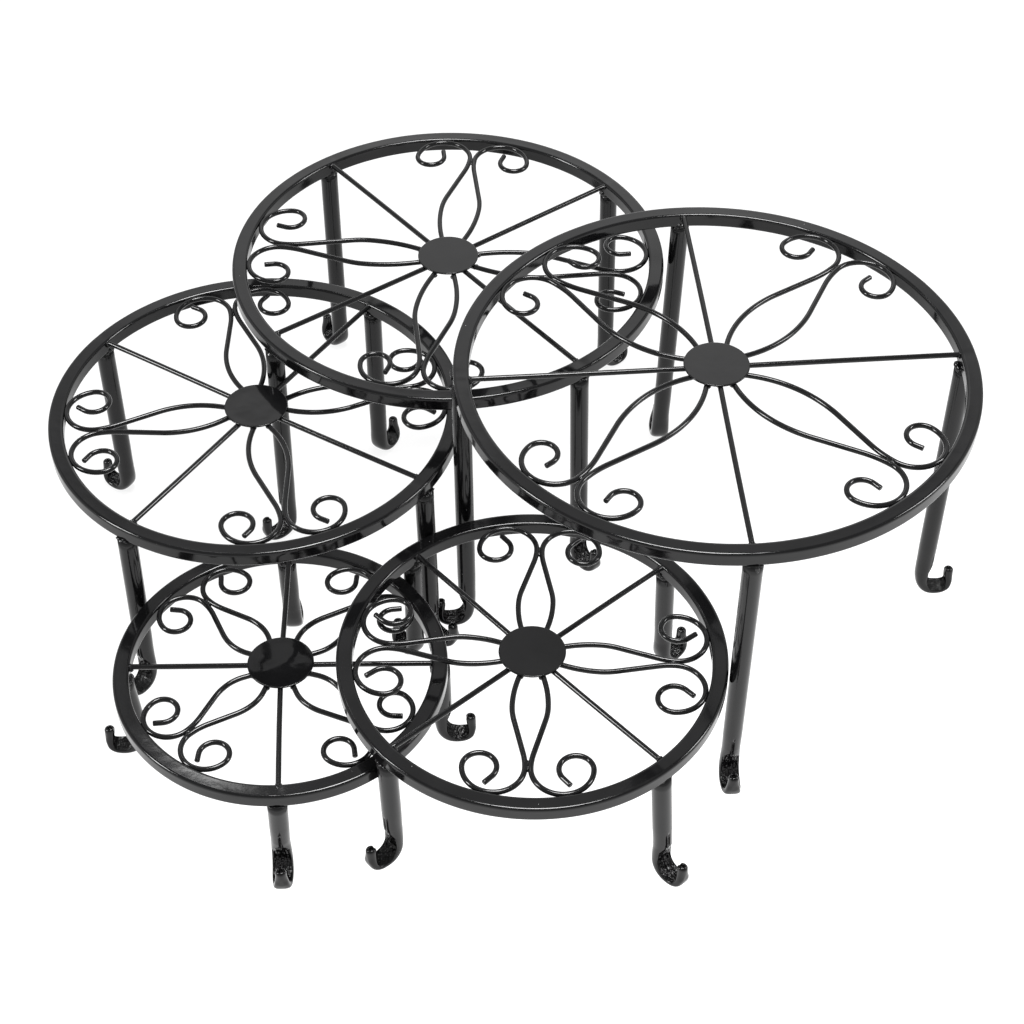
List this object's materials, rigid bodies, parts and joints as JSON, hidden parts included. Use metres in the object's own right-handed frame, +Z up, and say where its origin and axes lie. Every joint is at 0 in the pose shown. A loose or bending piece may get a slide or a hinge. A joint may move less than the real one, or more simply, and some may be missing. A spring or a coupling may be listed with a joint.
{
  "type": "plant stand set",
  "caption": "Nesting set of low round plant stands in black painted steel: square-tube hoops filled with spokes and scrolled petals, on tube legs with curled feet.",
  "frame": {"origin": "on the floor, under the middle of the whole set", "axes": "+Z up; +Y towards the back of the arrangement, away from the picture's camera; +X to the right"},
  "size_m": [0.6325, 0.585, 0.2229],
  "materials": {
    "hoop_paint": "gloss black paint",
    "leg_paint": "gloss black paint",
    "wire_paint": "gloss black paint",
    "plate_paint": "gloss black paint"
  },
  "bodies": {
    "smallest_stand": {"smallest_centre_plate": "plate_paint", "smallest_hoop": "hoop_paint", "smallest_leg_front": "leg_paint", "smallest_leg_left": "leg_paint", "smallest_leg_rear": "leg_paint", "smallest_leg_right": "leg_paint", "smallest_petal_front_left": "wire_paint", "smallest_petal_front_right": "wire_paint", "smallest_petal_rear_left": "wire_paint", "smallest_petal_rear_right": "wire_paint", "smallest_spokes": "wire_paint"},
    "small_stand": {"small_centre_plate": "plate_paint", "small_hoop": "hoop_paint", "small_leg_front_left": "leg_paint", "small_leg_front_right": "leg_paint", "small_leg_rear_left": "leg_paint", "small_leg_rear_right": "leg_paint", "small_petal_front": "wire_paint", "small_petal_left": "wire_paint", "small_petal_rear": "wire_paint", "small_petal_right": "wire_paint", "small_spokes": "wire_paint"},
    "medium_stand": {"medium_centre_plate": "plate_paint", "medium_hoop": "hoop_paint", "medium_leg_front_left": "leg_paint", "medium_leg_front_right": "leg_paint", "medium_leg_rear_left": "leg_paint", "medium_leg_rear_right": "leg_paint", "medium_petal_front": "wire_paint", "medium_petal_left": "wire_paint", "medium_petal_rear": "wire_paint", "medium_petal_right": "wire_paint", "medium_spokes": "wire_paint"},
    "large_stand": {"large_centre_plate": "plate_paint", "large_hoop": "hoop_paint", "large_leg_front_left": "leg_paint", "large_leg_front_right": "leg_paint", "large_leg_rear_left": "leg_paint", "large_leg_rear_right": "leg_paint", "large_petal_front": "wire_paint", "large_petal_left": "wire_paint", "large_petal_rear": "wire_paint", "large_petal_right": "wire_paint", "large_spokes": "wire_paint"},
    "largest_stand": {"largest_centre_plate": "plate_paint", "largest_hoop": "hoop_paint", "largest_leg_front": "leg_paint", "largest_leg_left": "leg_paint", "largest_leg_rear": "leg_paint", "largest_leg_right": "leg_paint", "largest_petal_front_left": "wire_paint", "largest_petal_front_right": "wire_paint", "largest_petal_rear_left": "wire_paint", "largest_petal_rear_right": "wire_paint", "largest_spokes": "wire_paint"}
  },
  "joints": [
    {"name": "small_lift", "type": "slide", "parent": "smallest_stand", "child": "small_stand", "axis": [0, 0, 1], "range_m": [0, 0.1]},
    {"name": "medium_lift", "type": "slide", "parent": "small_stand", "child": "medium_stand", "axis": [-0.004, 0.0196, 0.9998], "range_m": [0, 0.07]},
    {"name": "large_lift", "type": "slide", "parent": "medium_stand", "child": "large_stand", "axis": [0.0117, 0.0105, 0.9999], "range_m": [0, 0.11]},
    {"name": "largest_slide", "type": "slide", "parent": "large_stand", "child": "largest_stand", "axis": [0.9848, 0.1736, 0], "range_m": [0, 0.22]}
  ]
}
